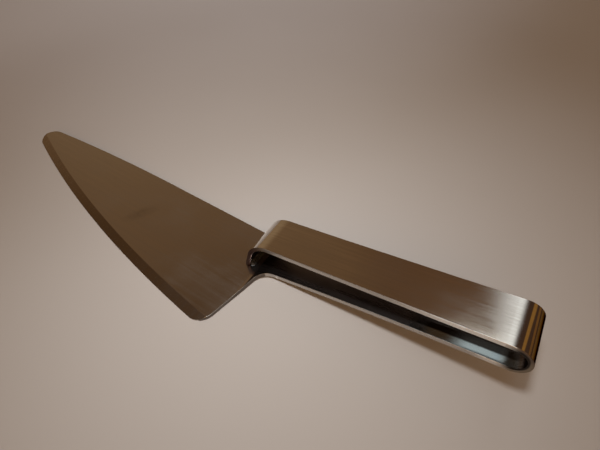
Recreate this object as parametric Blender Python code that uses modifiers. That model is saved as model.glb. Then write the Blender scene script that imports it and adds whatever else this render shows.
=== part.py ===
# Cake knife of folded steel sheet: a flat ground blade with a bent neck, a strap handle folded into
# a long loop, the flush weld where strap and neck meet, and the weld behind the loop's front foot.
# Metres. The handle runs along +X, the blade points to -X, and the spine is on the +Y side.
from math import atan2, cos, hypot, pi, radians, sin, sqrt, tan

import bmesh
import bpy
import numpy as np
from mathutils import Matrix

# Sheet and clearances
SHEET = 0.0018
JOINT_GAP = 0.0003  # between pieces that touch
ARRIS = 0.0002  # the softened edges of the sheet
CUT_OVERRUN = 0.002  # how far a cutter passes the faces it cuts

# Blade, seen from above. x = 0 is the neck's bend, y = 0 the handle's centre line.
BLADE_LENGTH = 0.1556
TIP_RADIUS = 0.0058
HEEL_DEPTH = 0.0397  # lowest point of the heel, to the edge side
HEEL_RADIUS = 0.0065
EDGE_RADIUS = 0.625  # the long curve of the cutting edge
SPINE_START = 0.0053  # on the neck, where the spine meets the line of the handle's far edge
SPINE_SLANT = radians(3.57)
SPINE_STRAIGHT = 0.069  # from there on the spine is slightly curved
SPINE_RADIUS = 1.02
REAR_SETBACK = 0.0048  # where the rear edge's line crosses the centre line
REAR_SLANT = radians(11.3)  # the rear edge against a square line
GRIND_WIDTH = 0.0037
EDGE_LAND = 0.00045  # thickness left at the cutting edge

# Neck
NECK_FILLET = 0.0065
NECK_BEND = radians(10.3)
NECK_BEND_RADIUS = 0.010
NECK_LENGTH = 0.0100  # bend to seam

# Handle strap
HANDLE_LENGTH = 0.1002  # bend to the loop's outer end
WIDTH_AT_NECK = 0.0175
WIDTH_AT_END = 0.0191
LOWER_BOW = radians(-3.4)  # what the lower run turns by along its length
LOOP_RADIUS = 0.00628
LOOP_TURN = radians(180.35)
UPPER_BOW = radians(-1.2)
FRONT_BEND_RADIUS = 0.011
LEG_LEAN = radians(14.0)  # the leg against a plumb line
FOOT_SETBACK = 0.0054  # the foot's front face, ahead of the bend

# Welds
NECK_WELD_TOP = 0.0020
NECK_WELD_ROOT = 0.0010
FOOT_WELD_LEG = 0.0020
FOOT_WELD_HOLLOW = 0.00025  # how far the bead's face is sunk
FOOT_WELD_INSET = 0.0006  # from the strap's edges

# Steps of the curves
LONG_STEPS = 36
CORNER_STEPS = 12
NECK_STEPS = 4
RUN_STEPS = 12
LOOP_STEPS = 28
BEND_STEPS = 14
BEAD_STEPS = 6

COLORS = {
    "blade": ((0.40, 0.38, 0.36), 0.30),
    "handle_strap": ((0.47, 0.455, 0.44), 0.34),
    "neck_weld": ((0.44, 0.43, 0.415), 0.38),
    "foot_weld": ((0.50, 0.49, 0.475), 0.45),
}


def clear_scene():
    for obj in list(bpy.data.objects):
        bpy.data.objects.remove(obj, do_unlink=True)


def make_collection(name):
    collection = bpy.data.collections.new(name)
    bpy.context.scene.collection.children.link(collection)
    return collection


def make_steel(name):
    color, roughness = COLORS[name]
    material = bpy.data.materials.new(name + "_steel")
    material.use_nodes = True
    shader = material.node_tree.nodes["Principled BSDF"]
    shader.inputs["Base Color"].default_value = (*color, 1.0)
    shader.inputs["Metallic"].default_value = 1.0
    shader.inputs["Roughness"].default_value = roughness
    return material


def add_object(name, data, collection, parent=None):
    obj = bpy.data.objects.new(name, data)
    collection.objects.link(obj)
    obj.parent = parent
    return obj


def finish_part(obj):
    obj.data.materials.clear()
    obj.data.materials.append(make_steel(obj.name))
    obj.data.shade_smooth()
    obj.data.set_sharp_from_angle(angle=radians(30.0))


def prism(name, outline, depth):
    """The mesh of a flat outline with a depth, drawn as a filled 2D curve and centred on z = 0."""
    curve = bpy.data.curves.new(name, "CURVE")
    curve.dimensions = "2D"
    curve.fill_mode = "BOTH"
    curve.extrude = depth / 2
    spline = curve.splines.new("POLY")
    spline.points.add(len(outline) - 1)
    for point, (x, y) in zip(spline.points, outline):
        point.co = (x, y, 0.0, 1.0)
    spline.use_cyclic_u = True
    drawn = add_object(name, curve, bpy.context.scene.collection)
    graph = bpy.context.evaluated_depsgraph_get()
    mesh = bpy.data.meshes.new_from_object(drawn.evaluated_get(graph))
    bpy.data.objects.remove(drawn, do_unlink=True)
    shape = bmesh.new()
    shape.from_mesh(mesh)
    bmesh.ops.remove_doubles(shape, verts=shape.verts, dist=ARRIS / 100)
    bmesh.ops.recalc_face_normals(shape, faces=shape.faces)
    shape.to_mesh(mesh)
    shape.free()
    return mesh


def stand_up(mesh):
    """Turns a prism so that its outline lies in x and z, and its depth along y."""
    mesh.transform(Matrix.Rotation(pi / 2, 4, "X"))


def add_bevel(obj, width, segments):
    bevel = obj.modifiers.new("SoftEdges", "BEVEL")
    bevel.width = width
    bevel.segments = segments
    bevel.limit_method = "ANGLE"
    bevel.angle_limit = radians(40.0)


def add_cut(obj, cutter, name):
    boolean = obj.modifiers.new(name, "BOOLEAN")
    boolean.operation = "DIFFERENCE"
    boolean.object = cutter


def add_cutter(name, mesh, collection, parent):
    cutter = add_object(name, mesh, collection, parent)
    cutter.hide_render = True
    cutter.display_type = "WIRE"
    return cutter


# Plane geometry


def arc_points(center, radius, start, end, steps):
    """Points on a circle from one angle to another, both ends included."""
    angles = np.linspace(start, end, steps + 1)
    return [(center[0] + radius * cos(a), center[1] + radius * sin(a)) for a in angles]


def angle_from(center, point):
    return atan2(point[1] - center[1], point[0] - center[0])


def enclosing_center(first, first_radius, second, second_radius, radius):
    """Centre of a large circle that goes round two small ones and touches both on their lower side."""
    to_first = radius - first_radius
    to_second = radius - second_radius
    dx, dy = second[0] - first[0], second[1] - first[1]
    apart = hypot(dx, dy)
    along = (to_first**2 - to_second**2 + apart**2) / (2 * apart)
    across = sqrt(to_first**2 - along**2)
    return (
        first[0] + (along * dx - across * dy) / apart,
        first[1] + (along * dy + across * dx) / apart,
    )


# The sheet's middle surface, seen from the side


def arc_share(turn):
    """Chord over length of an arc that turns this much."""
    return sin(turn / 2) / (turn / 2) if turn else 1.0


def walk(start, heading, stretches):
    """Points along stretches of (length, turn, steps): straight where the turn is zero, arcs elsewhere."""
    x, z = start
    points = [(x, z)]
    for length, turn, steps in stretches:
        for _ in range(steps):
            chord = length / steps * arc_share(turn / steps)
            x += chord * cos(heading + turn / steps / 2)
            z += chord * sin(heading + turn / steps / 2)
            heading += turn / steps
            points.append((x, z))
    return points


BEND_START = -NECK_BEND_RADIUS * tan(NECK_BEND / 2)


def neck_place(flat_x):
    """Where a point of the flat blank's middle lands when the neck is bent: x, z and heading."""
    past = flat_x - BEND_START
    heading = min(max(past / NECK_BEND_RADIUS, 0.0), NECK_BEND)
    straight = past - heading * NECK_BEND_RADIUS
    x = BEND_START + NECK_BEND_RADIUS * sin(heading) + straight * cos(heading)
    z = SHEET / 2 + NECK_BEND_RADIUS * (1 - cos(heading)) + straight * sin(heading)
    return x, z, heading


SEAM_X, SEAM_Z, SEAM_HEADING = neck_place(NECK_LENGTH)


def half_width(x):
    """Half the strap's width: even along the neck, then widening to the loop's end."""
    share = max(0.0, x - SEAM_X) / (HANDLE_LENGTH - SEAM_X)
    return (WIDTH_AT_NECK + (WIDTH_AT_END - WIDTH_AT_NECK) * share) / 2


# Blade


def spine_center():
    """Where the spine's straight stretch ends, its curve has its middle square to that stretch."""
    x = SPINE_START - SPINE_STRAIGHT * cos(SPINE_SLANT) - SPINE_RADIUS * sin(SPINE_SLANT)
    y = WIDTH_AT_NECK / 2 + SPINE_STRAIGHT * sin(SPINE_SLANT) - SPINE_RADIUS * cos(SPINE_SLANT)
    return x, y


def tip_center():
    """The round tip touches the spine's curve, a blade's length ahead of the bend."""
    spine = spine_center()
    x = TIP_RADIUS - BLADE_LENGTH
    return x, spine[1] + sqrt((SPINE_RADIUS - TIP_RADIUS) ** 2 - (x - spine[0]) ** 2)


def rear_edge(y):
    return REAR_SETBACK + y * tan(REAR_SLANT)


def heel_center():
    y = HEEL_RADIUS - HEEL_DEPTH
    return rear_edge(y) - HEEL_RADIUS / cos(REAR_SLANT), y


def edge_center():
    return enclosing_center(tip_center(), TIP_RADIUS, heel_center(), HEEL_RADIUS, EDGE_RADIUS)


def blade_outline():
    """The flat blank: neck, spine, round tip, cutting edge, round heel, rear edge and fillet."""
    side = WIDTH_AT_NECK / 2
    spine, tip, edge, heel = spine_center(), tip_center(), edge_center(), heel_center()
    fillet_y = -side - NECK_FILLET
    fillet = (rear_edge(fillet_y) + NECK_FILLET / cos(REAR_SLANT), fillet_y)
    at_tip_top = angle_from(spine, tip)
    at_tip_foot = angle_from(edge, tip) + 2 * pi
    at_heel = angle_from(edge, heel) + 2 * pi
    at_rear = 2 * pi - REAR_SLANT
    points = [(NECK_LENGTH, -side), (NECK_LENGTH, side), (SPINE_START, side)]
    points += arc_points(spine, SPINE_RADIUS, pi / 2 - SPINE_SLANT, at_tip_top, LONG_STEPS)
    points += arc_points(tip, TIP_RADIUS, at_tip_top, at_tip_foot, CORNER_STEPS)[1:]
    points += arc_points(edge, EDGE_RADIUS, at_tip_foot, at_heel, LONG_STEPS)[1:]
    points += arc_points(heel, HEEL_RADIUS, at_heel, at_rear, CORNER_STEPS)[1:]
    points += arc_points(fillet, NECK_FILLET, pi - REAR_SLANT, pi / 2, CORNER_STEPS)
    return points


def bend_neck(mesh):
    """Cuts the blank across at the steps of the bend, then folds up what lies past its start."""
    shape = bmesh.new()
    shape.from_mesh(mesh)
    for step in range(NECK_STEPS + 1):
        x = BEND_START + NECK_BEND_RADIUS * NECK_BEND * step / NECK_STEPS
        everything = shape.verts[:] + shape.edges[:] + shape.faces[:]
        bmesh.ops.bisect_plane(shape, geom=everything, plane_co=(x, 0, 0), plane_no=(1, 0, 0))
    for vert in shape.verts:
        x, z, heading = neck_place(vert.co.x)
        vert.co.x = x - (vert.co.z - SHEET / 2) * sin(heading)
        vert.co.z = z + (vert.co.z - SHEET / 2) * cos(heading)
    shape.to_mesh(mesh)
    shape.free()


def make_grind_cutter(cutters, root):
    """What the grinding takes off: a wedge swept along the cutting edge, past the tip and the heel."""
    center = edge_center()
    slope = (SHEET - EDGE_LAND) / GRIND_WIDTH
    inner = EDGE_RADIUS - GRIND_WIDTH - CUT_OVERRUN
    outer = EDGE_RADIUS + CUT_OVERRUN
    section = [
        (inner, SHEET + CUT_OVERRUN * slope),
        (outer, EDGE_LAND - CUT_OVERRUN * slope),
        (outer, SHEET + CUT_OVERRUN),
        (inner, SHEET + CUT_OVERRUN),
    ]
    start = angle_from(center, (-BLADE_LENGTH - GRIND_WIDTH, tip_center()[1]))
    end = angle_from(center, (NECK_LENGTH, -HEEL_DEPTH))
    shape = bmesh.new()
    verts = [
        shape.verts.new((center[0] + r * cos(start), center[1] + r * sin(start), z))
        for r, z in section
    ]
    face = shape.faces.new(verts)
    bmesh.ops.spin(
        shape,
        geom=[face],
        cent=(*center, 0.0),
        axis=(0.0, 0.0, 1.0),
        angle=end - start,
        steps=2 * LONG_STEPS,
    )
    bmesh.ops.recalc_face_normals(shape, faces=shape.faces)
    mesh = bpy.data.meshes.new("grind_cutter")
    shape.to_mesh(mesh)
    shape.free()
    return add_cutter("grind_cutter", mesh, cutters, root)


def make_blade(parts, root, grind_cutter, groove_cutter):
    mesh = prism("blade", blade_outline(), SHEET)
    mesh.transform(Matrix.Translation((0.0, 0.0, SHEET / 2)))
    bend_neck(mesh)
    blade = add_object("blade", mesh, parts, root)
    add_bevel(blade, ARRIS, 1)
    add_cut(blade, grind_cutter, "Grind")
    add_cut(blade, groove_cutter, "WeldGroove")
    finish_part(blade)


# Handle strap


def strap_path():
    """The strap's middle line from the seam, round the loop and down the front leg to below its foot."""
    lower_end = SEAM_HEADING + LOWER_BOW
    upper_start = lower_end + LOOP_TURN
    upper_end = upper_start + UPPER_BOW
    leg_heading = 3 * pi / 2 - LEG_LEAN
    front_turn = leg_heading - upper_end
    loop_middle = LOOP_RADIUS - SHEET / 2
    front_middle = FRONT_BEND_RADIUS - SHEET / 2
    loop_x = HANDLE_LENGTH - LOOP_RADIUS + loop_middle * sin(lower_end)
    lower_reach = arc_share(LOWER_BOW) * cos(SEAM_HEADING + LOWER_BOW / 2)
    lower_length = (loop_x - SEAM_X) / lower_reach
    to_upper = [
        (lower_length, LOWER_BOW, RUN_STEPS),
        (loop_middle * LOOP_TURN, LOOP_TURN, LOOP_STEPS),
    ]
    upper_x, upper_z = walk((SEAM_X, SEAM_Z), SEAM_HEADING, to_upper)[-1]
    # The upper run and the leg are as long as it takes to put the foot in its place on the blade.
    foot = (SHEET / 2 / cos(LEG_LEAN) - FOOT_SETBACK, SHEET)
    bend = front_middle * front_turn * arc_share(front_turn)
    bend_heading = upper_end + front_turn / 2
    upper_heading = upper_start + UPPER_BOW / 2
    reach = np.array(
        [
            [arc_share(UPPER_BOW) * cos(upper_heading), cos(leg_heading)],
            [arc_share(UPPER_BOW) * sin(upper_heading), sin(leg_heading)],
        ]
    )
    rest = (
        foot[0] - upper_x - bend * cos(bend_heading),
        foot[1] - upper_z - bend * sin(bend_heading),
    )
    upper_length, leg_length = np.linalg.solve(reach, rest)
    stretches = to_upper + [
        (upper_length, UPPER_BOW, RUN_STEPS),
        (front_middle * front_turn, front_turn, BEND_STEPS),
        (leg_length + CUT_OVERRUN, 0.0, 2),
    ]
    return walk((SEAM_X, SEAM_Z), SEAM_HEADING, stretches)


def make_strap(parts, root, groove_cutter, foot_cutter):
    """A ribbon along the strap's path, drawn out across its width and given the sheet's thickness."""
    shape = bmesh.new()
    near = [shape.verts.new((x, -half_width(x), z)) for x, z in strap_path()]
    edges = [shape.edges.new(pair) for pair in zip(near, near[1:])]
    drawn = bmesh.ops.extrude_edge_only(shape, edges=edges)["geom"]
    for vert in drawn:
        if isinstance(vert, bmesh.types.BMVert):
            vert.co.y = half_width(vert.co.x)
    bmesh.ops.recalc_face_normals(shape, faces=shape.faces)
    mesh = bpy.data.meshes.new("handle_strap")
    shape.to_mesh(mesh)
    shape.free()
    strap = add_object("handle_strap", mesh, parts, root)
    thick = strap.modifiers.new("Sheet", "SOLIDIFY")
    thick.thickness = SHEET
    thick.offset = 0.0
    thick.use_even_offset = True
    add_bevel(strap, ARRIS, 2)
    add_cut(strap, groove_cutter, "WeldGroove")
    add_cut(strap, foot_cutter, "FootLevel")
    finish_part(strap)


def make_foot_cutter(cutters, root):
    """Levels the leg's end a gap above the blade."""
    front = -FOOT_SETBACK - CUT_OVERRUN - SHEET
    shape = bmesh.new()
    bmesh.ops.create_cube(shape, size=1.0)
    size = (-front, WIDTH_AT_NECK + 2 * CUT_OVERRUN, SHEET + JOINT_GAP + CUT_OVERRUN)
    middle = (front / 2, 0.0, (SHEET + JOINT_GAP - CUT_OVERRUN) / 2)
    bmesh.ops.scale(shape, vec=size, verts=shape.verts)
    bmesh.ops.translate(shape, vec=middle, verts=shape.verts)
    mesh = bpy.data.meshes.new("foot_cutter")
    shape.to_mesh(mesh)
    shape.free()
    return add_cutter("foot_cutter", mesh, cutters, root)


# Welds


def place_at_seam(obj):
    obj.location = (SEAM_X, 0.0, SEAM_Z)
    obj.rotation_euler.y = -SEAM_HEADING


def make_groove_cutter(cutters, root):
    """The groove between neck and strap: the weld's section with a gap all round it."""
    top = NECK_WELD_TOP / 2 + JOINT_GAP
    foot = NECK_WELD_ROOT / 2 + JOINT_GAP
    half = SHEET / 2
    past = half + CUT_OVERRUN
    right = [(foot, -past), (foot, -half), (top, half), (top, past)]
    outline = right + [(-x, z) for x, z in reversed(right)]
    mesh = prism("groove_cutter", outline, WIDTH_AT_NECK + 2 * CUT_OVERRUN)
    stand_up(mesh)
    cutter = add_cutter("groove_cutter", mesh, cutters, root)
    place_at_seam(cutter)
    return cutter


def make_neck_weld(parts, root):
    """The seam's weld, ground flush with both faces of the sheet and with its edges."""
    top = NECK_WELD_TOP / 2
    foot = NECK_WELD_ROOT / 2
    half = SHEET / 2
    outline = [(foot, -half), (top, half), (-top, half), (-foot, -half)]
    mesh = prism("neck_weld", outline, WIDTH_AT_NECK)
    stand_up(mesh)
    weld = add_object("neck_weld", mesh, parts, root)
    place_at_seam(weld)
    finish_part(weld)


def make_foot_weld(parts, root):
    """The bead in the corner behind the leg, with a slightly hollow face."""
    along_leg = pi / 2 - LEG_LEAN
    corner_shift = JOINT_GAP / cos(LEG_LEAN) + JOINT_GAP * tan(LEG_LEAN)
    face_start = (FOOT_WELD_LEG, 0.0)
    face_end = (FOOT_WELD_LEG * cos(along_leg), FOOT_WELD_LEG * sin(along_leg))
    chord = hypot(face_end[0] - face_start[0], face_end[1] - face_start[1])
    outline = [(0.0, 0.0)]
    for share in np.linspace(0.0, 1.0, BEAD_STEPS + 1):
        sink = FOOT_WELD_HOLLOW * (1 - (2 * share - 1) ** 2) / chord
        x = face_start[0] + (face_end[0] - face_start[0]) * share
        z = face_start[1] + (face_end[1] - face_start[1]) * share
        x -= sink * (face_end[1] - face_start[1])
        z += sink * (face_end[0] - face_start[0])
        outline.append((x, z))
    mesh = prism("foot_weld", outline, WIDTH_AT_NECK - 2 * FOOT_WELD_INSET)
    stand_up(mesh)
    weld = add_object("foot_weld", mesh, parts, root)
    weld.location.x = SHEET / cos(LEG_LEAN) - FOOT_SETBACK + corner_shift
    weld.location.z = SHEET + JOINT_GAP
    finish_part(weld)


def center_on_origin(root, parts):
    """Puts the middle of the knife's footprint at the origin, on the surface it lies on."""
    bpy.context.view_layer.update()
    graph = bpy.context.evaluated_depsgraph_get()
    corners = []
    for obj in parts.objects:
        if obj.type != "MESH":
            continue
        shown = obj.evaluated_get(graph)
        mesh = shown.to_mesh()
        corners += [shown.matrix_world @ vert.co for vert in mesh.vertices]
        shown.to_mesh_clear()
    places = np.array(corners)
    low, high = places.min(axis=0), places.max(axis=0)
    root.location = (-(low[0] + high[0]) / 2, -(low[1] + high[1]) / 2, -low[2])


def main():
    clear_scene()
    parts = make_collection("cake_knife")
    cutters = make_collection("cutters")
    root = add_object("cake_knife_origin", None, parts)
    grind_cutter = make_grind_cutter(cutters, root)
    groove_cutter = make_groove_cutter(cutters, root)
    foot_cutter = make_foot_cutter(cutters, root)
    make_blade(parts, root, grind_cutter, groove_cutter)
    make_strap(parts, root, groove_cutter, foot_cutter)
    make_neck_weld(parts, root)
    make_foot_weld(parts, root)
    center_on_origin(root, parts)


main()
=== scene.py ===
from math import acos, atan2, cos, hypot, pi, radians, sin, sqrt, tan

import bmesh
import bpy
from mathutils import Matrix, Vector, noise


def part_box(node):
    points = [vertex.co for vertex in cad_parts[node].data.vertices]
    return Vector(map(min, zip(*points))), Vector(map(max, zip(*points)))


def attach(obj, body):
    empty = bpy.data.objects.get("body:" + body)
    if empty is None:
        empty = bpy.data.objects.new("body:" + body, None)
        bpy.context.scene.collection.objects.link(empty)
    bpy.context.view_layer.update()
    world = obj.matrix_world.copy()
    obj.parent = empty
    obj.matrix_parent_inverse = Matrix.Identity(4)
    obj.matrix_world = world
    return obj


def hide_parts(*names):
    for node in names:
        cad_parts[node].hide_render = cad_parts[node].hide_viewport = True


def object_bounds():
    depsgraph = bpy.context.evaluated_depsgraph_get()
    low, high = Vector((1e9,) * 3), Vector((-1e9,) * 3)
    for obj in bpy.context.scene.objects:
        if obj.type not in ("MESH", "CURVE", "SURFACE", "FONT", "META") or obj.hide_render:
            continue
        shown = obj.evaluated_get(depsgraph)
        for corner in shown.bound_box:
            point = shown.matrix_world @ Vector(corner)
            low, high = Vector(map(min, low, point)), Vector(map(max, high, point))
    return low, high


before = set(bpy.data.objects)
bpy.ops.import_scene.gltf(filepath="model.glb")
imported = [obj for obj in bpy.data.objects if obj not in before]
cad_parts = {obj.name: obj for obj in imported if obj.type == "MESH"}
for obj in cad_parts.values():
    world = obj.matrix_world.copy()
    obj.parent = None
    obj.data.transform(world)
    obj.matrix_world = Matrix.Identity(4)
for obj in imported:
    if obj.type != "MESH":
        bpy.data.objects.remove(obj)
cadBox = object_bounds()
print("packed knife loaded")

# The sheet that both main pieces are made of
sheet = {
    "thickness": 0.0018,
    "softEdge": 0.00018,  # what deburring takes off the corners
    "softEdgeSteps": 3,
    "smoothUpTo": radians(12),  # corners sharper than this stay crisp
    "sameSpot": 0.000002,  # points this near to each other are one
}
half = sheet["thickness"] / 2

# The blade's sheet bends up at the neck. x = 0 is that bend, y = 0 the middle of the strap.
neck = {
    "width": 0.0175,
    "fillet": 0.0065,
    "bend": radians(10.3),
    "bendRadius": 0.010,
    "bendSteps": 12,
    "length": 0.0100,  # bend to seam
}
bendStart = -neck["bendRadius"] * tan(neck["bend"] / 2)


def neckPlace(flatX):
    # where a point of the flat sheet's middle lands once the neck is bent
    turned = min(max((flatX - bendStart) / neck["bendRadius"], 0.0), neck["bend"])
    straight = flatX - bendStart - turned * neck["bendRadius"]
    x = bendStart + neck["bendRadius"] * sin(turned) + straight * cos(turned)
    z = half + neck["bendRadius"] * (1 - cos(turned)) + straight * sin(turned)
    return Vector((x, 0, z)), turned


seam, seamHeading = neckPlace(neck["length"])
handleLength = 0.1002  # bend to the loop's outer end
strapLow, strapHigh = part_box("handle_strap")
knifeShift = Vector((cadBox[1].x - handleLength, (strapLow.y + strapHigh.y) / 2, 0))


def everything(shape):
    return shape.verts[:] + shape.edges[:] + shape.faces[:]


def ofKind(parts, kind):
    return [part for part in parts if isinstance(part, kind)]


def cutAway(shape, point, normal, parts=None):
    # takes off what lies past a plane and closes the cut
    parts = parts or everything(shape)
    cut = bmesh.ops.bisect_plane(
        shape, geom=parts, plane_co=point, plane_no=normal, clear_outer=True
    )
    bmesh.ops.contextual_create(shape, geom=ofKind(cut["geom_cut"], bmesh.types.BMEdge))


def growAcross(shape, face, width, steps):
    # draws a section out along y in even steps and leaves no face inside
    for index in range(steps):
        grown = bmesh.ops.extrude_face_region(shape, geom=[face])["geom"]
        moved = ofKind(grown, bmesh.types.BMVert)
        bmesh.ops.translate(shape, vec=(0, width / steps, 0), verts=moved)
        if face.is_valid and index:
            bmesh.ops.delete(shape, geom=[face], context="FACES_ONLY")
        face = ofKind(grown, bmesh.types.BMFace)[0]


def settle(shape):
    bmesh.ops.remove_doubles(shape, verts=shape.verts, dist=sheet["sameSpot"])
    bmesh.ops.recalc_face_normals(shape, faces=shape.faces)


def soften(shape, parts, affect="EDGES"):
    bmesh.ops.bevel(
        shape,
        geom=parts,
        offset=sheet["softEdge"],
        offset_type="OFFSET",
        segments=sheet["softEdgeSteps"],
        profile=0.5,
        affect=affect,
        material=-1,
        clamp_overlap=True,
    )


def finishPiece(name, shape, looks, node):
    bmesh.ops.translate(shape, vec=knifeShift, verts=shape.verts)
    mesh = bpy.data.meshes.new(name)
    shape.to_mesh(mesh)
    shape.free()
    for look in looks:
        mesh.materials.append(look)
    mesh.shade_smooth()
    mesh.set_sharp_from_angle(angle=sheet["smoothUpTo"])
    piece = bpy.data.objects.new(name, mesh)
    bpy.context.scene.collection.objects.link(piece)
    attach(piece, "root")
    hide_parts(node)
    print(name, "made with", len(mesh.polygons), "faces")
    return piece


# Node helpers. Values go to a node's inputs: a socket is linked, anything else is set.


def addNode(tree, kind, values=None, **settings):
    node = tree.nodes.new(kind)
    for key, value in settings.items():
        setattr(node, key, value)
    for key, value in (values or {}).items():
        if isinstance(value, bpy.types.NodeSocket):
            tree.links.new(value, node.inputs[key])
        else:
            node.inputs[key].default_value = value
    return node


def addMath(tree, operation, first, second=0.0, third=0.0):
    values = {0: first, 1: second, 2: third}
    return addNode(tree, "ShaderNodeMath", values, operation=operation).outputs[0]


def addVector(tree, operation, first, second=(0.0, 0.0, 0.0)):
    node = addNode(tree, "ShaderNodeVectorMath", {0: first, 1: second}, operation=operation)
    return node.outputs["Value" if operation in ("LENGTH", "DISTANCE") else "Vector"]


def addParts(tree, vector):
    return addNode(tree, "ShaderNodeSeparateXYZ", {0: vector}).outputs


def addPlace(tree, x, y, z):
    return addNode(tree, "ShaderNodeCombineXYZ", {0: x, 1: y, 2: z}).outputs[0]


def addRange(tree, value, low, high, toLow=0.0, toHigh=1.0):
    values = {"Value": value, "From Min": low, "From Max": high}
    values.update({"To Min": toLow, "To Max": toHigh})
    return addNode(tree, "ShaderNodeMapRange", values, interpolation_type="SMOOTHSTEP").outputs[0]


def addFall(tree, value, low, high):
    return addRange(tree, value, low, high, 1.0, 0.0)


def addBand(tree, value, low, high, fade):
    # 1 between two values, with soft ends
    above = addRange(tree, value, low - fade, low + fade)
    return addMath(tree, "MULTIPLY", above, addFall(tree, value, high - fade, high + fade))


def addNoise(tree, vector, scale, detail=2.0, roughness=0.5):
    values = {"Vector": vector, "Scale": scale, "Detail": detail, "Roughness": roughness}
    return addNode(tree, "ShaderNodeTexNoise", values).outputs


def opaque(color):
    return color if isinstance(color, bpy.types.NodeSocket) else (*color, 1.0)


def addMix(tree, share, first, second, blend="MIX"):
    # the node's colours are its inputs 6 and 7 and its output 2
    values = {0: share, 6: opaque(first), 7: opaque(second)}
    settings = {"data_type": "RGBA", "blend_type": blend}
    return addNode(tree, "ShaderNodeMix", values, **settings).outputs[2]


def newGroup(name, inputs, outputs):
    group = bpy.data.node_groups.new(name, "ShaderNodeTree")
    for label, kind, value in inputs:
        kind = "NodeSocket" + kind
        socket = group.interface.new_socket(label, in_out="INPUT", socket_type=kind)
        if value is not None:
            socket.default_value = value
    for label, kind in outputs:
        group.interface.new_socket(label, in_out="OUTPUT", socket_type="NodeSocket" + kind)
    source, sink = group.nodes.new("NodeGroupInput"), group.nodes.new("NodeGroupOutput")
    return group, source.outputs, sink.inputs


def placeGroup(tree, group, values):
    return addNode(tree, "ShaderNodeGroup", values, node_tree=group).outputs


def newMaterial(name, metallic=1.0):
    material = bpy.data.materials.new(name)
    material.use_nodes = True
    tree = material.node_tree
    shader = tree.nodes["Principled BSDF"]
    shader.inputs["Metallic"].default_value = metallic
    place = addNode(tree, "ShaderNodeTexCoord").outputs["Object"]
    return material, tree, shader.inputs, place


def addBump(tree, inputs, height, depth, strength=1.0):
    values = {"Height": height, "Strength": strength, "Distance": depth}
    tree.links.new(addNode(tree, "ShaderNodeBump", values).outputs[0], inputs["Normal"])


def addRoughness(tree, share, limits):
    smooth, dull = limits
    return addMath(tree, "MULTIPLY_ADD", share, smooth - dull, dull)


# Brush lines: fine, coarse and broad ones, drawn out along x and z and packed across y
brushing = {
    "fine": 5200.0,
    "coarse": 1300.0,
    "length": 38.0,
    "broadShare": 0.36,  # how many broad lines there are for each coarse one
    "detail": (2.0, 0.55),
    "lineShares": (0.55, 0.45),  # fine, coarse
    "streakShares": (0.4, 0.6),  # coarse, broad
    "streakRange": (0.36, 0.64),
}


def makeBrushLines():
    inputs = [("Vector", "Vector", None)]
    inputs += [(key.capitalize(), "Float", brushing[key]) for key in ("fine", "coarse", "length")]
    outputs = [("Lines", "Float"), ("Streaks", "Float")]
    group, source, sink = newGroup("brushLines", inputs, outputs)

    def layer(label, share):
        across = addMath(group, "MULTIPLY", source[label], share)
        scale = addPlace(group, source["Length"], across, source["Length"])
        place = addVector(group, "MULTIPLY", source["Vector"], scale)
        return addNoise(group, place, 1.0, *brushing["detail"])[0]

    def blend(first, second, shares):
        rest = addMath(group, "MULTIPLY", second, shares[1])
        return addMath(group, "MULTIPLY_ADD", first, shares[0], rest)

    fine, coarse = layer("Fine", 1.0), layer("Coarse", 1.0)
    broad = layer("Coarse", brushing["broadShare"])
    group.links.new(blend(fine, coarse, brushing["lineShares"]), sink["Lines"])
    streaks = blend(coarse, broad, brushing["streakShares"])
    group.links.new(addRange(group, streaks, *brushing["streakRange"]), sink["Streaks"])
    return group


# Marks of use: finger smudges and a few stray scratches
handling = {
    "size": 45.0,
    "smudgeDetail": 4.0,
    "smudgeRange": (0.42, 0.72),
    "smudgeShare": 0.5,
    "scratchScale": 90.0,
    "scratchBend": (0.8, 1.0),
    "scratchCells": 0.9,
    "scratchWidth": 0.006,
    "scratchPatches": 70.0,
    "scratchRange": (0.56, 0.62),
    "scratchShare": 0.25,
    "scratchColor": (0.75, 0.74, 0.72),
    "scratchHeight": -0.6,
}


def makeHandlingMarks():
    inputs = [("Vector", "Vector", None), ("Size", "Float", handling["size"])]
    outputs = [("Smudge", "Float"), ("Scratch", "Float")]
    group, source, sink = newGroup("handlingMarks", inputs, outputs)
    blot = addNoise(group, source["Vector"], source["Size"], handling["smudgeDetail"])[0]
    group.links.new(addRange(group, blot, *handling["smudgeRange"]), sink["Smudge"])
    spread = addVector(group, "MULTIPLY", source["Vector"], [handling["scratchScale"]] * 3)
    bent = addVector(group, "ADD", spread, addNoise(group, spread, *handling["scratchBend"])[1])
    values = {"Vector": bent, "Scale": handling["scratchCells"]}
    cells = addNode(group, "ShaderNodeTexVoronoi", values, feature="DISTANCE_TO_EDGE").outputs[0]
    thin = addFall(group, cells, 0.0, handling["scratchWidth"])
    patches = addNoise(group, source["Vector"], handling["scratchPatches"])[0]
    some = addRange(group, patches, *handling["scratchRange"])
    group.links.new(addMath(group, "MULTIPLY", thin, some), sink["Scratch"])
    return group


# Oxide left by the heat of the foot weld, as shares of its reach
heatTint = {
    "stops": [
        (0.0, (0.26, 0.15, 0.12)),
        (0.55, (0.20, 0.10, 0.08)),
        (0.72, (0.34, 0.21, 0.15)),
        (0.88, (0.74, 0.60, 0.47)),
        (1.0, (1.0, 1.0, 1.0)),
    ],
    "unevenness": 0.0007,
    "patches": 260.0,
    "dullRange": (0.2, 0.9),
    "dulling": 0.08,
    "weldLine": Vector((-0.0035, 0, sheet["thickness"])),
}


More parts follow.
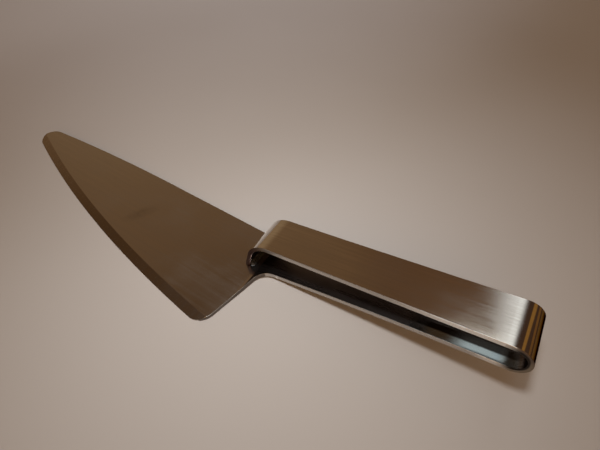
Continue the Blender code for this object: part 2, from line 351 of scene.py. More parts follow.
def makeHeatTint():
    # turns the steel's own colour straw and then brown, by distance from the foot weld
    inputs = [("Vector", "Vector", None), ("Steel", "Color", None), ("Reach", "Float", None)]
    group, source, sink = newGroup("heatTint", inputs, [("Color", "Color"), ("Heat", "Float")])
    line = knifeShift + heatTint["weldLine"]
    parts = addParts(group, source["Vector"])
    aside = addMath(group, "ABSOLUTE", addMath(group, "SUBTRACT", parts[1], line.y))
    pastEnd = addMath(group, "MAXIMUM", addMath(group, "SUBTRACT", aside, neck["width"] / 2), 0.0)
    beside = addPlace(group, parts[0], pastEnd, parts[2])
    away = addVector(group, "DISTANCE", beside, (line.x, 0.0, line.z))
    patchy = addNoise(group, source["Vector"], heatTint["patches"])[0]
    uneven = heatTint["unevenness"]
    uneven = addMath(group, "MULTIPLY_ADD", patchy, uneven, -uneven / 2)
    share = addMath(group, "DIVIDE", addMath(group, "ADD", away, uneven), source["Reach"])
    ramp = addNode(group, "ShaderNodeValToRGB", {"Fac": share})
    stops = ramp.color_ramp.elements
    while len(stops) < len(heatTint["stops"]):
        stops.new(0.5)
    for stop, (place, color) in zip(stops, heatTint["stops"]):
        stop.position = place
        stop.color = opaque(color)
    tinted = addMix(group, 1.0, source["Steel"], ramp.outputs["Color"], "MULTIPLY")
    group.links.new(tinted, sink["Color"])
    group.links.new(addFall(group, share, *heatTint["dullRange"]), sink["Heat"])
    return group


brushLines = makeBrushLines()
handlingMarks = makeHandlingMarks()
heatTintGroup = makeHeatTint()

# What all finishes of a cut edge share
edgeLook = {
    "color": (0.50, 0.465, 0.43),
    "darker": 0.94,
    "fine": 2400.0,
    "coarse": 700.0,
    "length": 300.0,
    "turn": 0.0,
    "depth": 0.0000006,
    "smudge": 0.03,
    "heatReach": 0.0022,
}

# Colour, brushing and marks of each steel finish. Turn is the brushing's direction, seen from
# above. Each painted fade goes over to another colour between two places along x: painted
# highlights on the cut edges, and a painted reflection and painted shade at the loop's closed end.
finishes = {
    "brushedStrap": {
        "color": (0.72, 0.685, 0.64),
        "darker": 0.85,
        "roughness": (0.06, 0.105),
        "fine": 9000.0,
        "coarse": 4200.0,
        "length": 34.0,
        "turn": 0.0,
        "depth": 0.0000036,
        "smudge": 0.05,
        "heatReach": 0.0035,
    },
    "satinBlade": {
        "color": (0.635, 0.605, 0.57),
        "darker": 0.94,
        "roughness": (0.15, 0.20),
        "fine": 6000.0,
        "coarse": 1900.0,
        "length": 22.0,
        "turn": radians(-3.6),
        "depth": 0.0000025,
        "smudge": 0.06,
        "heatReach": 0.0008,
        "fingerMark": {
            "middle": (-0.0360, 0.0030, sheet["thickness"]),
            "turn": radians(62),
            "size": (0.0110, 0.0042, 0.01),
            "shade": 0.84,
            "patches": (330.0, 3.0),
            "fade": (0.1, 1.0),
        },
    },
    "polishedBend": {
        "color": (0.70, 0.68, 0.655),
        # painted reflection and painted shade: an orange band, then dark brown at the loop's far
        # end
        "paintedFades": [
            ((0.1251, 0.1257), (0.60, 0.44, 0.20)),
            ((0.1258, 0.1269), (0.135, 0.064, 0.026)),
        ],
        "grazing": (0.12, 0.075, 0.045),
        "darker": 0.92,
        "roughness": (0.055, 0.085),
        "fine": 7000.0,
        "coarse": 2400.0,
        "length": 26.0,
        "turn": 0.0,
        "depth": 0.0000025,
        "smudge": 0.03,
        "heatReach": 0.0022,
    },
    "groundSeam": {
        "color": (0.69, 0.67, 0.645),
        "darker": 0.88,
        "roughness": (0.16, 0.25),
        "fine": 3600.0,
        "coarse": 1100.0,
        "length": 600.0,
        "turn": 0.0,
        "depth": 0.000002,
        "smudge": 0.05,
        "heatReach": 0.0035,
    },
    "cutEdge": {
        **edgeLook,
        "roughness": (0.24, 0.30),
        # painted highlight: the cut edge lightens towards the closed end
        "paintedFades": [((0.110, 0.118), (0.80, 0.765, 0.72))],
    },
    "upperEdge": {
        **edgeLook,
        "roughness": (0.24, 0.30),
        # painted highlight: the upper edge lightens towards the closed end
        "paintedFades": [((0.080, 0.108), (0.97, 0.95, 0.92))],
    },
    "bentEdge": {
        **edgeLook,
        # painted highlight: the edge near the closed end is lighter
        "color": (0.80, 0.765, 0.72),
        "roughness": (0.26, 0.32),
        # painted light on the loop's cut edge: lighter in the lower half, darker in the upper half
        "ring": {
            "from": (0.1175, 0.1230),
            "upper": (0.15, 0.11, 0.085),
            "lower": (0.245, 0.20, 0.15),
            "upperFrom": (0.0006, 0.0044),  # heights over the loop's centre
            "rim": (0.028, 0.021, 0.017),  # painted shade, a dark line next to the inside of the fold
            "rimUpTo": (0.0049, 0.0053),  # distances from the loop's centre
            "rimGrowth": 0.0004,  # how much wider the rim is in the upper half
        },
    },
    # painted shade: the blade's rear cut edge is darkened
    "shadedRearEdge": {
        **edgeLook,
        "color": (0.17, 0.14, 0.12),
        "darker": 0.80,
        "roughness": (0.28, 0.38),
        "depth": 0.000001,
    },
    "heatedEdge": {
        **edgeLook,
        "darker": 0.80,
        "roughness": (0.26, 0.38),
        "depth": 0.000001,
        "heatReach": 0.0172,
    },
}


def addBrushLines(tree, vector, look):
    values = {"Vector": vector}
    values.update({key.capitalize(): look[key] for key in ("fine", "coarse", "length")})
    return placeGroup(tree, brushLines, values)


def addFingerMark(tree, place, color, mark):
    # a faint oval, broken up by noise, where the blade was touched
    values = {"Vector": place, "Location": mark["middle"]}
    values.update({"Rotation": (0, 0, mark["turn"]), "Scale": mark["size"]})
    oval = addNode(tree, "ShaderNodeMapping", values, vector_type="TEXTURE").outputs[0]
    fade = addFall(tree, addVector(tree, "LENGTH", oval), *mark["fade"])
    share = addMath(tree, "MULTIPLY", fade, addNoise(tree, place, *mark["patches"])[0])
    dark = addMix(tree, 1.0, color, [mark["shade"] ** 2] * 3, "MULTIPLY")
    return addMix(tree, share, color, dark)


def addRingColor(tree, place, ring):
    # the loop's cut edge: a painted highlight below, painted shade above, and a painted shade line
    # next to the inside of the fold
    center = knifeShift + loopCenter()
    fromCenter = addVector(tree, "SUBTRACT", place, (center.x, 0.0, center.z))
    flat = addVector(tree, "MULTIPLY", fromCenter, (1.0, 0.0, 1.0))
    upper = addRange(tree, addParts(tree, flat)[2], *ring["upperFrom"])
    color = addMix(tree, upper, ring["lower"], ring["upper"])
    away = addVector(tree, "LENGTH", flat)
    away = addMath(tree, "MULTIPLY_ADD", upper, -ring["rimGrowth"], away)
    return addMix(tree, addFall(tree, away, *ring["rimUpTo"]), color, ring["rim"])


def makeSteel(name):
    look = finishes[name]
    material, tree, inputs, place = newMaterial(name)
    values = {"Vector": place, "Rotation": (0, 0, -look["turn"])}
    lines = addBrushLines(tree, addNode(tree, "ShaderNodeMapping", values).outputs[0], look)
    marks = placeGroup(tree, handlingMarks, {"Vector": place})
    dark = [part * look["darker"] for part in look["color"]]
    color = addMix(tree, lines["Streaks"], dark, look["color"])
    smudged = addMath(tree, "MULTIPLY", marks["Smudge"], handling["smudgeShare"])
    color = addMix(tree, smudged, color, dark)
    scratched = addMath(tree, "MULTIPLY", marks["Scratch"], handling["scratchShare"])
    color = addMix(tree, scratched, color, handling["scratchColor"])
    if "fingerMark" in look:
        color = addFingerMark(tree, place, color, look["fingerMark"])
    along = addParts(tree, place)[0]
    # painted fades: highlights on edges, and reflection and shade at the closed end
    for reach, paintedColor in look.get("paintedFades", ()):
        color = addMix(tree, addRange(tree, along, *reach), color, paintedColor)
    if "ring" in look:
        ringColor = addRingColor(tree, place, look["ring"])
        color = addMix(tree, addRange(tree, along, *look["ring"]["from"]), color, ringColor)
    values = {"Vector": place, "Steel": color, "Reach": look["heatReach"]}
    heat = placeGroup(tree, heatTintGroup, values)
    tree.links.new(heat["Color"], inputs["Base Color"])
    rough = addRoughness(tree, lines["Streaks"], look["roughness"])
    rough = addMath(tree, "MULTIPLY_ADD", marks["Smudge"], look["smudge"], rough)
    rough = addMath(tree, "MULTIPLY_ADD", heat["Heat"], heatTint["dulling"], rough)
    tree.links.new(rough, inputs["Roughness"])
    scratches = (marks["Scratch"], handling["scratchHeight"])
    height = addMath(tree, "MULTIPLY_ADD", *scratches, lines["Lines"])
    addBump(tree, inputs, height, look["depth"])
    if "grazing" in look:
        inputs["Specular Tint"].default_value = opaque(look["grazing"])
    return material


# Inside of the fold: its dark colour is painted shade, darker still at both ends, and a painted
# reflection makes it bright just before the closed end, crossed on the lower run by a painted
# shade strip. Names that end in From, UpTo, Start or End are ranges along x.
foldInside = {
    "insideShade": (0.21, 0.18, 0.165),
    "insideShadePatches": (0.155, 0.13, 0.12),
    "insideShadeRoughness": (0.26, 0.34),
    "deepShade": (0.105, 0.085, 0.075),  # painted deeper shade at both ends of the fold
    "deepShadeUpTo": (0.030, 0.038),
    "deepShadeFrom": (0.1205, 0.1240),
    "grazing": (0.30, 0.25, 0.22),
    # painted reflection just before the closed end, and its smudged patches
    "bright": (0.66, 0.70, 0.72),
    "reflectionPatches": (0.50, 0.53, 0.545),
    "brightRoughness": (0.035, 0.06),
    "brightStart": (0.089, 0.097),
    "brightEnd": (0.1180, 0.1268),
    "strip": (0.06, 0.05, 0.045),  # painted shade along the lower run, across the painted reflection
    "stripAcross": (0.0060, 0.0146, 0.0003),  # from and to along y, and its ends' softness
    "fine": 6000.0,
    "coarse": 2100.0,
    "length": 30.0,
    "depth": 0.0000008,
}


def makeFoldInside(name, hasDarkStrip):
    look = foldInside
    material, tree, inputs, place = newMaterial(name)
    parts = addParts(tree, place)
    start = addRange(tree, parts[0], *look["brightStart"])
    bright = addMath(tree, "MULTIPLY", start, addFall(tree, parts[0], *look["brightEnd"]))
    lines = addBrushLines(tree, place, look)
    marks = placeGroup(tree, handlingMarks, {"Vector": place})
    inputs["Specular Tint"].default_value = opaque(look["grazing"])
    # painted shade: the inside's dark colour, in patches, deeper at both ends of the fold
    insideShade = addMix(tree, marks["Smudge"], look["insideShade"], look["insideShadePatches"])
    front = addFall(tree, parts[0], *look["deepShadeUpTo"])
    insideShade = addMix(tree, front, insideShade, look["deepShade"])
    rear = addRange(tree, parts[0], *look["deepShadeFrom"])
    insideShade = addMix(tree, rear, insideShade, look["deepShade"])
    # painted reflection before the closed end; on the lower run a painted shade strip crosses it
    paintedReflection = addMix(tree, marks["Smudge"], look["bright"], look["reflectionPatches"])
    if hasDarkStrip:
        strip = addBand(tree, parts[1], *look["stripAcross"])
        paintedReflection = addMix(tree, strip, paintedReflection, look["strip"])
    tree.links.new(addMix(tree, bright, insideShade, paintedReflection), inputs["Base Color"])
    insideShadeRough = addRoughness(tree, lines["Streaks"], look["insideShadeRoughness"])
    brightRough = addRoughness(tree, lines["Streaks"], look["brightRoughness"])
    change = addMath(tree, "SUBTRACT", brightRough, insideShadeRough)
    rough = addMath(tree, "MULTIPLY_ADD", change, bright, insideShadeRough)
    tree.links.new(rough, inputs["Roughness"])
    addBump(tree, inputs, lines["Lines"], look["depth"])
    return material


# Blade: its blank is drawn with arcs, then ground along the edge and bent at the neck
blade = {
    "length": 0.1556,
    "tipRadius": 0.0058,
    "heelDepth": 0.0397,
    "heelRadius": 0.0065,
    "edgeRadius": 0.625,
    "spineStart": 0.0053,
    "spineSlant": radians(3.57),
    "spineStraight": 0.069,
    "spineRadius": 1.02,
    "rearSetback": 0.0048,
    "rearSlant": radians(11.3),
    "grindWidth": 0.0037,
    "edgeLand": 0.00016,
    "longSteps": 72,
    "cornerSteps": 20,
    "slack": 0.000003,  # rounding error allowed for where points are picked by distance
    "cornersFrom": radians(60),  # sharper edges than this are softened
    "sharpPast": 0.0004,  # but not the cutting edge, this far beyond the start of the grind
}

# How the blade's faces are told apart. Up and Back are the shares of a face's normal that point
# there, groundPast and neckEnd are lengths.
bladeFaces = {
    "groundUp": (0.85, 0.97),
    "groundPast": 0.0001,
    "cutUp": 0.3,
    "rearBack": 0.5,
    "neckEnd": 0.001,
    "insideUp": 0.95,
}


def angleFrom(center, point):
    return atan2(point.y - center.y, point.x - center.x)


def rearEdge(y):
    return blade["rearSetback"] + y * tan(blade["rearSlant"])


side = neck["width"] / 2
spineCenter = Vector(
    (
        blade["spineStart"]
        - blade["spineStraight"] * cos(blade["spineSlant"])
        - blade["spineRadius"] * sin(blade["spineSlant"]),
        side
        + blade["spineStraight"] * sin(blade["spineSlant"])
        - blade["spineRadius"] * cos(blade["spineSlant"]),
        0,
    )
)
tipX = blade["tipRadius"] - blade["length"]
tipRise = sqrt((blade["spineRadius"] - blade["tipRadius"]) ** 2 - (tipX - spineCenter.x) ** 2)
tipCenter = Vector((tipX, spineCenter.y + tipRise, 0))
heelY = blade["heelRadius"] - blade["heelDepth"]
heelCenter = Vector((rearEdge(heelY) - blade["heelRadius"] / cos(blade["rearSlant"]), heelY, 0))


def enclosingCenter(first, firstRadius, second, secondRadius, radius):
    # the circle that goes round two small ones and touches both on their lower side
    toFirst, toSecond = radius - firstRadius, radius - secondRadius
    apart = second - first
    along = (toFirst**2 - toSecond**2 + apart.length_squared) / (2 * apart.length)
    across = sqrt(toFirst**2 - along**2)
    forward = apart.normalized()
    return first + forward * along + Vector((-forward.y, forward.x, 0)) * across


edgeCenter = enclosingCenter(
    tipCenter, blade["tipRadius"], heelCenter, blade["heelRadius"], blade["edgeRadius"]
)
grindRadius = blade["edgeRadius"] - blade["grindWidth"]


def fromEdgeCenter(vert):
    return hypot(vert.co.x - edgeCenter.x, vert.co.y - edgeCenter.y)


def grindCrossing(radius):
    # how far round a corner, from the cutting edge's end, the grind leaves the outline
    reach = blade["edgeRadius"] - radius
    return acos((grindRadius**2 - reach**2 - radius**2) / (2 * reach * radius))


def drawLine(shape, pen, x, y):
    end = shape.verts.new((x, y, 0))
    shape.edges.new((pen, end))
    return end


def drawArc(shape, pen, center, angle, steps):
    spun = bmesh.ops.spin(
        shape, geom=[pen], cent=center, axis=(0, 0, 1), angle=angle, steps=steps
    )
    return ofKind(spun["geom_last"], bmesh.types.BMVert)[0]


def drawBlank(shape):
    slant, steps = blade["rearSlant"], blade["cornerSteps"]
    first = shape.verts.new((neck["length"], -side, 0))
    pen = drawLine(shape, first, neck["length"], side)
    pen = drawLine(shape, pen, blade["spineStart"], side)
    straight = blade["spineStraight"]
    run = (straight * cos(blade["spineSlant"]), straight * sin(blade["spineSlant"]))
    pen = drawLine(shape, pen, blade["spineStart"] - run[0], side + run[1])
    tipTop = angleFrom(spineCenter, tipCenter)
    spineTurn = tipTop - pi / 2 + blade["spineSlant"]
    pen = drawArc(shape, pen, spineCenter, spineTurn, blade["longSteps"])
    tipFoot = angleFrom(edgeCenter, tipCenter) + 2 * pi
    tipCrossing = grindCrossing(blade["tipRadius"])
    pen = drawArc(shape, pen, tipCenter, tipFoot - tipCrossing - tipTop, steps)
    pen = drawArc(shape, pen, tipCenter, tipCrossing, steps)
    heelStart = angleFrom(edgeCenter, heelCenter) + 2 * pi
    pen = drawArc(shape, pen, edgeCenter, heelStart - tipFoot, blade["longSteps"])
    heelCrossing = grindCrossing(blade["heelRadius"])
    pen = drawArc(shape, pen, heelCenter, heelCrossing, steps)
    pen = drawArc(shape, pen, heelCenter, 2 * pi - slant - heelStart - heelCrossing, steps // 2)
    filletY = -side - neck["fillet"]
    fillet = Vector((rearEdge(filletY) + neck["fillet"] / cos(slant), filletY, 0))
    foot = (fillet.x - neck["fillet"] * cos(slant), filletY + neck["fillet"] * sin(slant))
    pen = drawLine(shape, pen, *foot)
    pen = drawArc(shape, pen, fillet, slant - pi / 2, steps)
    shape.edges.new((pen, first))


def grindAndFill(shape):
    # the grind is a strip inside the cutting edge; what it leaves is the flat of the blade
    slack = blade["slack"]

    def isOutside(edge):
        return all(fromEdgeCenter(vert) > grindRadius - slack for vert in edge.verts)

    def isInside(edge):
        return all(fromEdgeCenter(vert) < grindRadius + slack for vert in edge.verts)

    outer = [edge for edge in shape.edges if isOutside(edge)]
    strip = bmesh.ops.extrude_edge_only(shape, edges=outer)["geom"]
    for vert in ofKind(strip, bmesh.types.BMVert):
        vert.co = edgeCenter + (vert.co - edgeCenter).normalized() * grindRadius
    bmesh.ops.remove_doubles(shape, verts=shape.verts, dist=slack)
    rim = [edge for edge in shape.edges if edge.is_wire or isInside(edge)]
    bmesh.ops.contextual_create(shape, geom=rim)
    bmesh.ops.translate(shape, vec=(0, 0, sheet["thickness"]), verts=shape.verts)
    down = bmesh.ops.extrude_face_region(shape, geom=shape.faces[:])["geom"]
    lower = ofKind(down, bmesh.types.BMVert)
    bmesh.ops.translate(shape, vec=(0, 0, -sheet["thickness"]), verts=lower)
    slope = (sheet["thickness"] - blade["edgeLand"]) / blade["grindWidth"]
    for vert in shape.verts:
        past = fromEdgeCenter(vert) - grindRadius
        if vert.co.z > half and past > 0:
            vert.co.z = sheet["thickness"] - past * slope
    settle(shape)


def bendNeck(shape):
    for step in range(neck["bendSteps"] + 1):
        x = bendStart + neck["bendRadius"] * neck["bend"] * step / neck["bendSteps"]
        cut = {"plane_co": (x, 0, 0), "plane_no": (1, 0, 0)}
        bmesh.ops.bisect_plane(shape, geom=everything(shape), **cut)
    for vert in shape.verts:
        place, heading = neckPlace(vert.co.x)
        above = vert.co.z - half
        vert.co.x = place.x - above * sin(heading)
        vert.co.z = place.z + above * cos(heading)


def isBladeCorner(edge):
    level = abs(edge.verts[0].co.z - edge.verts[1].co.z) < half
    past = min(fromEdgeCenter(vert) for vert in edge.verts) - grindRadius
    return level and past <= blade["sharpPast"] and edge.calc_face_angle(0) > blade["cornersFrom"]


def bladeFinish(face):
    # which of the blade's finishes a face has, while the sheet is still flat
    up = abs(face.normal.z)
    low, high = bladeFaces["groundUp"]
    past = fromEdgeCenter(face.verts[0]) - grindRadius
    if low < up < high and past > -bladeFaces["groundPast"]:
        return "groundBevel"
    if up >= bladeFaces["cutUp"]:
        return "satinBlade"
    onNeck = face.calc_center_median().x >= neck["length"] - bladeFaces["neckEnd"]
    return "cutEdge" if onNeck or face.normal.x <= bladeFaces["rearBack"] else "shadedRearEdge"


def makeBladeSheet():
    shape = bmesh.new()
    drawBlank(shape)
    grindAndFill(shape)
    soften(shape, [edge for edge in shape.edges if isBladeCorner(edge)])
    looks = {
        "satinBlade": makeSteel("satinBlade"),
        "groundBevel": makeGroundBevel(),
        "cutEdge": makeSteel("cutEdge"),
        "lowerInside": makeFoldInside("lowerInside", True),
        "shadedRearEdge": makeSteel("shadedRearEdge"),
    }
    order = list(looks)
    for face in shape.faces:
        face.material_index = order.index(bladeFinish(face))
    bendNeck(shape)
    cutAway(shape, *weldSide(-1))
    settle(shape)
    # the neck's upward faces take the fold's painted shade
    for face in shape.faces:
        onNeck = face.calc_center_median().x > -bendStart
        if onNeck and face.normal.z > bladeFaces["insideUp"]:
            face.material_index = order.index("lowerInside")
    return finishPiece("bladeSheet", shape, looks.values(), "blade")


# The ground bevel, beside the cutting edge
bevelLook = {
    "color": (0.67, 0.62, 0.56),
    "dark": (0.60, 0.555, 0.50),
    "fine": 4200.0,
    "coarse": 900.0,
    "length": 120.0,
    "roughness": (0.18, 0.21),
    "smudge": 0.02,
    "depth": 0.0000025,
}


def makeGroundBevel():
    # grinding marks run square to the cutting edge, so they follow the angle round its centre
    look = bevelLook
    material, tree, inputs, place = newMaterial("groundBevel")
    center = knifeShift + edgeCenter
    fromCenter = addVector(tree, "SUBTRACT", place, (center.x, center.y, 0.0))
    parts = addParts(tree, fromCenter)
    angle = addMath(tree, "ARCTAN2", parts[1], parts[0])
    alongEdge = addMath(tree, "MULTIPLY", angle, blade["edgeRadius"])
    unrolled = addPlace(tree, addVector(tree, "LENGTH", fromCenter), alongEdge, 0.0)
    lines = addBrushLines(tree, unrolled, look)
    marks = placeGroup(tree, handlingMarks, {"Vector": place})
    color = addMix(tree, lines["Streaks"], look["dark"], look["color"])
    tree.links.new(color, inputs["Base Color"])
    rough = addRoughness(tree, lines["Streaks"], look["roughness"])
    rough = addMath(tree, "MULTIPLY_ADD", marks["Smudge"], look["smudge"], rough)
    tree.links.new(rough, inputs["Roughness"])
    addBump(tree, inputs, lines["Lines"], look["depth"])
    return material


# Neck weld: a V seam, ground almost flush
neckWeld = {
    "top": 0.0010,
    "root": 0.0005,
    "crown": 0.00002,
    "overlap": 0.00004,
    "steps": 60,
    "wander": 0.00007,  # how much its toes wave
    "waves": (4000, 900, 3.1),  # per metre along x and y, and where the pattern starts
    "steadyEnds": 0.0004,  # no waves this near to an end
    "atEnd": 0.00001,  # points this near to an end lie on it
    "topUp": 0.5,
}


def seamPoint(along, above, across=0.0):
    ahead = Vector((cos(seamHeading), 0, sin(seamHeading)))
    up = Vector((-sin(seamHeading), 0, cos(seamHeading)))
    return seam + ahead * along + up * above + Vector((0, across, 0))


def weldSide(way):
    # a point and a normal of the weld's flank, on the blade's side (-1) or the strap's (1)
    middle = (neckWeld["top"] + neckWeld["root"]) / 2
    tilt = (neckWeld["top"] - neckWeld["root"]) / sheet["thickness"]
    point = seamPoint(way * middle, 0)
    normal = seamPoint(-way, tilt) - seam
    return point, normal.normalized()


def makeNeckSeam():
    shape = bmesh.new()
    top, root = neckWeld["top"] + neckWeld["overlap"], neckWeld["root"] + neckWeld["overlap"]
    crown = half + neckWeld["crown"]
    section = [(-top, half), (-root, -half), (0, -crown), (root, -half), (top, half), (0, crown)]
    start = [shape.verts.new(seamPoint(along, above, -side)) for along, above in section]
    growAcross(shape, shape.faces.new(start), neck["width"], neckWeld["steps"])
    alongWaves, acrossWaves, wavesFrom = neckWeld["waves"]
    for vert in shape.verts:
        spot = Vector((vert.co.y * acrossWaves, vert.co.x * alongWaves, wavesFrom))
        if abs(vert.co.y) < side - neckWeld["steadyEnds"]:
            vert.co.x += noise.noise(spot) * neckWeld["wander"]
    settle(shape)

    def isEnd(edge):
        atEnd = all(abs(abs(vert.co.y) - side) < neckWeld["atEnd"] for vert in edge.verts)
        return atEnd and abs(edge.verts[0].co.z - edge.verts[1].co.z) < half

    soften(shape, [edge for edge in shape.edges if isEnd(edge)])
    for face in shape.faces:
        # the seam's top takes the fold's painted shade
        face.material_index = int(face.normal.z > neckWeld["topUp"])
    looks = [makeSteel("groundSeam"), bpy.data.materials["lowerInside"]]
    return finishPiece("neckSeam", shape, looks, "neck_weld")


# Handle: one strip folded by spinning its section round the centre of each bend
handle = {
    "widthAtEnd": 0.0191,
    "lowerBow": radians(-3.4),
    "loopRadius": 0.00628,
    "loopTurn": radians(180.35),
    "easing": 0.0032,  # the loop opens out over this length before the upper run
    "easingTurn": radians(6),
    "upperBow": radians(-1.2),
    "frontBendRadius": 0.011,
    "legLean": radians(14.0),
    "footSetback": 0.0054,
    "runSteps": 24,
    "loopSteps": 72,
    "easingSteps": 10,
    "bendSteps": 40,
    "past": 0.002,  # how far the leg is drawn below the blade's face before it is cut
    "sunk": 0.00001,  # how far the foot goes into the blade's face
    "startFrom": (0.004, 0.006),  # the strap's start lies past this x and under this height
}

# How the strap's faces are told apart, by shares of a face's normal, by lengths before the closed
# end (bentFrom, polishedFrom), and near the foot by a place along x and a height (heated).
strapZones = {
    "sideTurned": 0.15,
    "sideFlat": 0.99,
    "heatedUpTo": 0.013,
    "heatedAbove": 0.005,
    "bentFrom": 0.005,
    "polishedFrom": 0.0006,
    "lowerUp": 0.2,
}


def arcShare(turn):
    return sin(turn / 2) / (turn / 2)


def loopCenter():
    # where the centre of the closed end is, from the lower run's end
    turn = handle["lowerBow"]
    lowerEnd = seamHeading + turn
    middle = handle["loopRadius"] - half
    x = handleLength - handle["loopRadius"]
    run = x + middle * sin(lowerEnd) - seam.x
    z = seam.z + run * tan(seamHeading + turn / 2)
    return Vector((x, 0, z + middle * cos(lowerEnd)))


def planStrap():
    # length, turn and steps of each stretch; the last two lengths put the foot in its place
    lowerEnd = seamHeading + handle["lowerBow"]
    loopTurn, easingTurn = handle["loopTurn"] - handle["easingTurn"], handle["easingTurn"]
    easingStart = lowerEnd + loopTurn
    upperStart = easingStart + easingTurn
    upperEnd = upperStart + handle["upperBow"]
    legHeading = 3 * pi / 2 - handle["legLean"]
    frontTurn = legHeading - upperEnd
    loopMiddle = handle["loopRadius"] - half
    frontMiddle = handle["frontBendRadius"] - half

    def reach(length, start, turn):
        chord = length * arcShare(turn)
        return Vector((chord * cos(start + turn / 2), 0, chord * sin(start + turn / 2)))

    loopX = handleLength - handle["loopRadius"] + loopMiddle * sin(lowerEnd)
    lowerLength = (loopX - seam.x) / reach(1, seamHeading, handle["lowerBow"]).x
    loopLength = loopMiddle * loopTurn
    frontLength = frontMiddle * frontTurn
    at = seam + reach(lowerLength, seamHeading, handle["lowerBow"])
    at += reach(loopLength, lowerEnd, loopTurn) + reach(handle["easing"], easingStart, easingTurn)
    at += reach(frontLength, upperEnd, frontTurn)
    foot = Vector((half / cos(handle["legLean"]) - handle["footSetback"], 0, sheet["thickness"]))
    rest = foot - at
    upper = reach(1, upperStart, handle["upperBow"])
    leg = Vector((cos(legHeading), 0, sin(legHeading)))
    across = upper.x * leg.z - upper.z * leg.x
    upperLength = (rest.x * leg.z - rest.z * leg.x) / across
    legLength = (upper.x * rest.z - upper.z * rest.x) / across
    bends = [
        (lowerLength, handle["lowerBow"], handle["runSteps"]),
        (loopLength, loopTurn, handle["loopSteps"]),
        (handle["easing"], easingTurn, handle["easingSteps"]),
        (upperLength, handle["upperBow"], handle["runSteps"]),
        (frontLength, frontTurn, handle["bendSteps"]),
    ]
    return bends, legLength + handle["past"], legHeading


def leftOf(heading):
    return Vector((-sin(heading), 0, cos(heading)))


def strapFinish(face, path):
    # picks the finish of one face by which side of the strap it is on, and where
    zones = strapZones
    middle = face.calc_center_median()
    middle.y = 0
    nearest, left = min(path, key=lambda spot: (spot[0] - middle).length)
    facesIn = (middle - nearest).dot(left) > 0
    sideways = abs(face.normal.y)
    toLoop = handleLength - handle["loopRadius"] - middle.x
    isPolished = toLoop < zones["polishedFrom"]
    if sideways > zones["sideTurned"]:
        if middle.x < 0 or middle.x < zones["heatedUpTo"] and middle.z > zones["heatedAbove"]:
            return "heatedEdge"
        isInner = facesIn or sideways > zones["sideFlat"]
        if isPolished or isInner and toLoop < zones["bentFrom"]:
            return "bentEdge"
        return "cutEdge" if left.z > 0 else "upperEdge"
    # faces inside the fold take its painted shade and painted reflection
    if facesIn:
        return "lowerInside" if left.z > zones["lowerUp"] else "upperInside"
    return "polishedBend" if isPolished else "brushedStrap"


def makeStrap():
    shape = bmesh.new()
    bmesh.ops.create_grid(shape, x_segments=1, y_segments=1, size=0.5)
    bmesh.ops.scale(shape, vec=(sheet["thickness"], neck["width"], 1), verts=shape.verts)
    soften(shape, shape.verts[:], "VERTICES")
    upright = Matrix.Rotation(-pi / 2 - seamHeading, 3, "Y")
    bmesh.ops.rotate(shape, cent=(0, 0, 0), matrix=upright, verts=shape.verts)
    bmesh.ops.translate(shape, vec=seam, verts=shape.verts)
    bends, legLength, legHeading = planStrap()
    place, heading = seam.copy(), seamHeading
    cap = shape.faces[:]
    path = []
    for length, turn, steps in bends:
        radius = length / turn
        center = place + leftOf(heading) * radius
        spun = bmesh.ops.spin(
            shape, geom=cap, cent=center, axis=(0, -1, 0), angle=turn, steps=steps
        )
        cap = ofKind(spun["geom_last"], bmesh.types.BMFace)
        for step in range(steps + 1):
            left = leftOf(heading + turn * step / steps)
            path.append((center - left * radius, left))
        heading += turn
        place = center - leftOf(heading) * radius
    leg = bmesh.ops.extrude_face_region(shape, geom=cap)["geom"]
    reach = Vector((cos(legHeading), 0, sin(legHeading))) * legLength
    bmesh.ops.translate(shape, vec=reach, verts=ofKind(leg, bmesh.types.BMVert))
    inner = [face for face in cap if face.is_valid]
    bmesh.ops.delete(shape, geom=inner, context="FACES_ONLY")
    for vert in shape.verts:
        share = max(0.0, vert.co.x - seam.x) / (handleLength - seam.x)
        vert.co.y *= 1 + (handle["widthAtEnd"] / neck["width"] - 1) * share
    cutAway(shape, (0, 0, sheet["thickness"] - handle["sunk"]), (0, 0, -1))
    trimStart(shape)
    settle(shape)
    looks = {
        "brushedStrap": makeSteel("brushedStrap"),
        "cutEdge": bpy.data.materials["cutEdge"],
        "upperEdge": makeSteel("upperEdge"),
        "heatedEdge": makeSteel("heatedEdge"),
        "bentEdge": makeSteel("bentEdge"),
        "polishedBend": makeSteel("polishedBend"),
        "lowerInside": bpy.data.materials["lowerInside"],
        "upperInside": makeFoldInside("upperInside", False),
    }
    order = list(looks)
    for face in shape.faces:
        face.material_index = order.index(strapFinish(face, path))
    return finishPiece("handleStrap", shape, looks.values(), "handle_strap")


def trimStart(shape):
    # only the strap's start is cut to the weld's flank, not the leg that hangs over it
    start, top = handle["startFrom"]
    parts = {}
    for face in shape.faces:
        middle = face.calc_center_median()
        if middle.x > start and middle.z < top:
            parts.update(dict.fromkeys([face, *face.edges, *face.verts]))
    cutAway(shape, *weldSide(1), list(parts))


# Foot weld: a bead in the corner behind the leg, with the ripples of a hand-fed rod
footWeld = {
    "leg": 0.0021,
    "hollow": 0.0001,
    "inset": 0.0006,  # from the strap's edges
    "ripple": 0.0009,
    "rippleDepth": 0.09,
    "rippleShape": 0.5,
    "rippleWander": (500, 0.35),
    "lumps": (300, 7, 0.08),  # waves per metre, row of the noise, height
    "roundEnd": 0.0011,
    "endHeight": 0.45,
    "sunk": 0.00004,  # into both sheets
    "steps": 150,
    "facing": 10,
}


